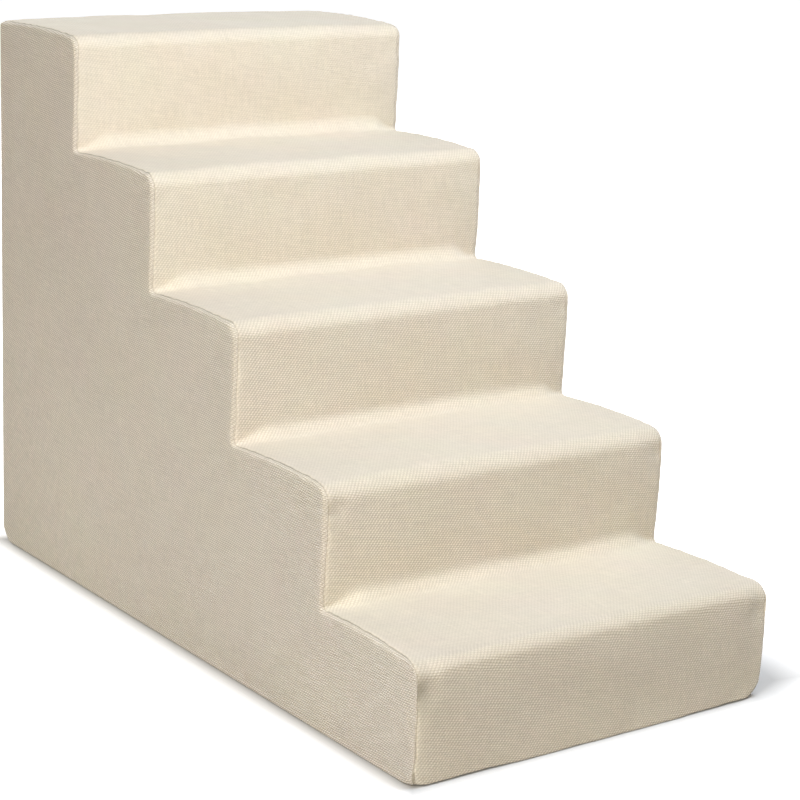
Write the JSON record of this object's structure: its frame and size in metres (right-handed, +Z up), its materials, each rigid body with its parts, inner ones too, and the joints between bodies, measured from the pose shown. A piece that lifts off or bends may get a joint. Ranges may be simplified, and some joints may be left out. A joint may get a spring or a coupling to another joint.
{
  "type": "pet stairs",
  "caption": "Pet stairs: a stepped foam block in a tight removable woven cover, with a coil zip up its back.",
  "frame": {"origin": "on the floor, in the middle of the whole object's width and depth", "axes": "+Z up, -Y the way the steps face, +X to the right across the treads as seen from the front"},
  "size_m": [0.4, 0.7796, 0.5715],
  "materials": {
    "cover_cloth": "woven, matte, natural cream",
    "base_cloth": "woven with small raised grip dots",
    "foam": "open-cell polyurethane foam",
    "zip_tape": "woven tape",
    "zip_coil": "nylon",
    "zip_metal": "painted",
    "hook_tape": "hooked pile",
    "loop_tape": "looped pile"
  },
  "bodies": {
    "stairs": {"cover_step_band": "cover_cloth", "cover_left_side": "cover_cloth", "cover_right_side": "cover_cloth", "cover_back_left": "cover_cloth", "cover_back_right": "cover_cloth", "cover_base": "base_cloth", "zip_tape_left": "zip_tape", "zip_tape_right": "zip_tape", "zip_coil_left": "zip_coil", "zip_coil_right": "zip_coil", "zip_upper_stop": "zip_coil", "zip_lower_stops": "zip_coil", "foam_slab_1": "foam", "foam_slab_2": "foam", "foam_slab_3": "foam", "foam_slab_4": "foam", "foam_slab_5": "foam", "corner_hook_strip_1": "hook_tape", "corner_loop_strip_1": "loop_tape", "corner_hook_strip_2": "hook_tape", "corner_loop_strip_2": "loop_tape", "corner_hook_strip_3": "hook_tape", "corner_loop_strip_3": "loop_tape", "corner_hook_strip_4": "hook_tape", "corner_loop_strip_4": "loop_tape"},
    "slider": {"zip_slider": "zip_metal"},
    "pull_tab": {"zip_pull_tab": "zip_metal"}
  },
  "joints": [
    {"name": "zip_slide", "type": "slide", "parent": "stairs", "child": "slider", "axis": [0, 0, 1], "range_m": [0, 0.4774]},
    {"name": "pull_tab_swing", "type": "hinge", "parent": "slider", "child": "pull_tab", "pos_m": [0, 0.3877, 0.0513], "axis": [1, 0, 0], "range_deg": [0, 170]}
  ]
}
